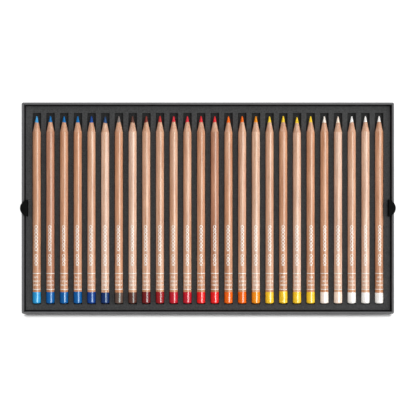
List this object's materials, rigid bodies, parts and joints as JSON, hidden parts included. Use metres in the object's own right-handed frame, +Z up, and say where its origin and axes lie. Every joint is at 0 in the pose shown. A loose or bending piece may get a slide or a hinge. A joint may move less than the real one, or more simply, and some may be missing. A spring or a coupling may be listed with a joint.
{
  "type": "pencil drawer box",
  "caption": "Shallow paper-wrapped board tray with a slotted foam bed that holds a row of round coloured pencils, and rounded pull tabs that fold out over the rim.",
  "frame": {"origin": "middle of the tray's underside, where it rests", "axes": "+X along the tray to the white pencils, +Y towards the pencil points, +Z up out of the tray"},
  "size_m": [0.3586, 0.2018, 0.0195],
  "materials": {
    "cedar": "satin",
    "greyboard": "matte",
    "wrap_paper": "satin",
    "foam": "matte",
    "leatherette": "matte",
    "pigment_sky_blue": "satin",
    "pigment_cobalt": "satin",
    "pigment_deep_blue": "satin",
    "pigment_navy": "satin",
    "pigment_warm_grey": "satin",
    "pigment_umber": "satin",
    "pigment_maroon": "satin",
    "pigment_crimson": "satin",
    "pigment_carmine": "satin",
    "pigment_scarlet": "satin",
    "pigment_orange": "satin",
    "pigment_amber": "satin",
    "pigment_yellow": "satin",
    "pigment_blush": "satin",
    "pigment_peach": "satin",
    "pigment_white": "satin"
  },
  "bodies": {
    "tray": {"floor_board": "greyboard", "wall_boards": "greyboard", "side_wrap": "wrap_paper", "foam_base": "foam", "foam_bed": "foam", "tab_anchors": "leatherette"},
    "tab_left": {"pull_tab_left": "leatherette"},
    "tab_right": {"pull_tab_right": "leatherette"},
    "pencil_01": {"pencil_01_casing": "cedar", "pencil_01_lead_and_cap": "pigment_sky_blue"},
    "pencil_02": {"pencil_02_casing": "cedar", "pencil_02_lead_and_cap": "pigment_cobalt"},
    "pencil_03": {"pencil_03_casing": "cedar", "pencil_03_lead_and_cap": "pigment_cobalt"},
    "pencil_04": {"pencil_04_casing": "cedar", "pencil_04_lead_and_cap": "pigment_cobalt"},
    "pencil_05": {"pencil_05_casing": "cedar", "pencil_05_lead_and_cap": "pigment_deep_blue"},
    "pencil_06": {"pencil_06_casing": "cedar", "pencil_06_lead_and_cap": "pigment_navy"},
    "pencil_07": {"pencil_07_casing": "cedar", "pencil_07_lead_and_cap": "pigment_warm_grey"},
    "pencil_08": {"pencil_08_casing": "cedar", "pencil_08_lead_and_cap": "pigment_umber"},
    "pencil_09": {"pencil_09_casing": "cedar", "pencil_09_lead_and_cap": "pigment_maroon"},
    "pencil_10": {"pencil_10_casing": "cedar", "pencil_10_lead_and_cap": "pigment_crimson"},
    "pencil_11": {"pencil_11_casing": "cedar", "pencil_11_lead_and_cap": "pigment_carmine"},
    "pencil_12": {"pencil_12_casing": "cedar", "pencil_12_lead_and_cap": "pigment_carmine"},
    "pencil_13": {"pencil_13_casing": "cedar", "pencil_13_lead_and_cap": "pigment_scarlet"},
    "pencil_14": {"pencil_14_casing": "cedar", "pencil_14_lead_and_cap": "pigment_scarlet"},
    "pencil_15": {"pencil_15_casing": "cedar", "pencil_15_lead_and_cap": "pigment_orange"},
    "pencil_16": {"pencil_16_casing": "cedar", "pencil_16_lead_and_cap": "pigment_orange"},
    "pencil_17": {"pencil_17_casing": "cedar", "pencil_17_lead_and_cap": "pigment_amber"},
    "pencil_18": {"pencil_18_casing": "cedar", "pencil_18_lead_and_cap": "pigment_yellow"},
    "pencil_19": {"pencil_19_casing": "cedar", "pencil_19_lead_and_cap": "pigment_yellow"},
    "pencil_20": {"pencil_20_casing": "cedar", "pencil_20_lead_and_cap": "pigment_yellow"},
    "pencil_21": {"pencil_21_casing": "cedar", "pencil_21_lead_and_cap": "pigment_yellow"},
    "pencil_22": {"pencil_22_casing": "cedar", "pencil_22_lead_and_cap": "pigment_blush"},
    "pencil_23": {"pencil_23_casing": "cedar", "pencil_23_lead_and_cap": "pigment_peach"},
    "pencil_24": {"pencil_24_casing": "cedar", "pencil_24_lead_and_cap": "pigment_white"},
    "pencil_25": {"pencil_25_casing": "cedar", "pencil_25_lead_and_cap": "pigment_white"},
    "pencil_26": {"pencil_26_casing": "cedar", "pencil_26_lead_and_cap": "pigment_white"}
  },
  "joints": [
    {"name": "tab_left_fold", "type": "hinge", "parent": "tray", "child": "tab_left", "pos_m": [-0.17308, 0, 0.0191], "axis": [0, 1, 0], "range_deg": [0, 90]},
    {"name": "tab_right_fold", "type": "hinge", "parent": "tray", "child": "tab_right", "pos_m": [0.17308, 0, 0.0191], "axis": [0, -1, 0], "range_deg": [0, 90]},
    {"name": "pencil_01_lift", "type": "slide", "parent": "tray", "child": "pencil_01", "axis": [0, 0, 1], "range_m": [0, 0.025]},
    {"name": "pencil_02_lift", "type": "slide", "parent": "tray", "child": "pencil_02", "axis": [0, 0, 1], "range_m": [0, 0.025]},
    {"name": "pencil_03_lift", "type": "slide", "parent": "tray", "child": "pencil_03", "axis": [0, 0, 1], "range_m": [0, 0.025]},
    {"name": "pencil_04_lift", "type": "slide", "parent": "tray", "child": "pencil_04", "axis": [0, 0, 1], "range_m": [0, 0.025]},
    {"name": "pencil_05_lift", "type": "slide", "parent": "tray", "child": "pencil_05", "axis": [0, 0, 1], "range_m": [0, 0.025]},
    {"name": "pencil_06_lift", "type": "slide", "parent": "tray", "child": "pencil_06", "axis": [0, 0, 1], "range_m": [0, 0.025]},
    {"name": "pencil_07_lift", "type": "slide", "parent": "tray", "child": "pencil_07", "axis": [0, 0, 1], "range_m": [0, 0.025]},
    {"name": "pencil_08_lift", "type": "slide", "parent": "tray", "child": "pencil_08", "axis": [0, 0, 1], "range_m": [0, 0.025]},
    {"name": "pencil_09_lift", "type": "slide", "parent": "tray", "child": "pencil_09", "axis": [0, 0, 1], "range_m": [0, 0.025]},
    {"name": "pencil_10_lift", "type": "slide", "parent": "tray", "child": "pencil_10", "axis": [0, 0, 1], "range_m": [0, 0.025]},
    {"name": "pencil_11_lift", "type": "slide", "parent": "tray", "child": "pencil_11", "axis": [0, 0, 1], "range_m": [0, 0.025]},
    {"name": "pencil_12_lift", "type": "slide", "parent": "tray", "child": "pencil_12", "axis": [0, 0, 1], "range_m": [0, 0.025]},
    {"name": "pencil_13_lift", "type": "slide", "parent": "tray", "child": "pencil_13", "axis": [0, 0, 1], "range_m": [0, 0.025]},
    {"name": "pencil_14_lift", "type": "slide", "parent": "tray", "child": "pencil_14", "axis": [0, 0, 1], "range_m": [0, 0.025]},
    {"name": "pencil_15_lift", "type": "slide", "parent": "tray", "child": "pencil_15", "axis": [0, 0, 1], "range_m": [0, 0.025]},
    {"name": "pencil_16_lift", "type": "slide", "parent": "tray", "child": "pencil_16", "axis": [0, 0, 1], "range_m": [0, 0.025]},
    {"name": "pencil_17_lift", "type": "slide", "parent": "tray", "child": "pencil_17", "axis": [0, 0, 1], "range_m": [0, 0.025]},
    {"name": "pencil_18_lift", "type": "slide", "parent": "tray", "child": "pencil_18", "axis": [0, 0, 1], "range_m": [0, 0.025]},
    {"name": "pencil_19_lift", "type": "slide", "parent": "tray", "child": "pencil_19", "axis": [0, 0, 1], "range_m": [0, 0.025]},
    {"name": "pencil_20_lift", "type": "slide", "parent": "tray", "child": "pencil_20", "axis": [0, 0, 1], "range_m": [0, 0.025]},
    {"name": "pencil_21_lift", "type": "slide", "parent": "tray", "child": "pencil_21", "axis": [0, 0, 1], "range_m": [0, 0.025]},
    {"name": "pencil_22_lift", "type": "slide", "parent": "tray", "child": "pencil_22", "axis": [0, 0, 1], "range_m": [0, 0.025]},
    {"name": "pencil_23_lift", "type": "slide", "parent": "tray", "child": "pencil_23", "axis": [0, 0, 1], "range_m": [0, 0.025]},
    {"name": "pencil_24_lift", "type": "slide", "parent": "tray", "child": "pencil_24", "axis": [0, 0, 1], "range_m": [0, 0.025]},
    {"name": "pencil_25_lift", "type": "slide", "parent": "tray", "child": "pencil_25", "axis": [0, 0, 1], "range_m": [0, 0.025]},
    {"name": "pencil_26_lift", "type": "slide", "parent": "tray", "child": "pencil_26", "axis": [0, 0, 1], "range_m": [0, 0.025]}
  ]
}
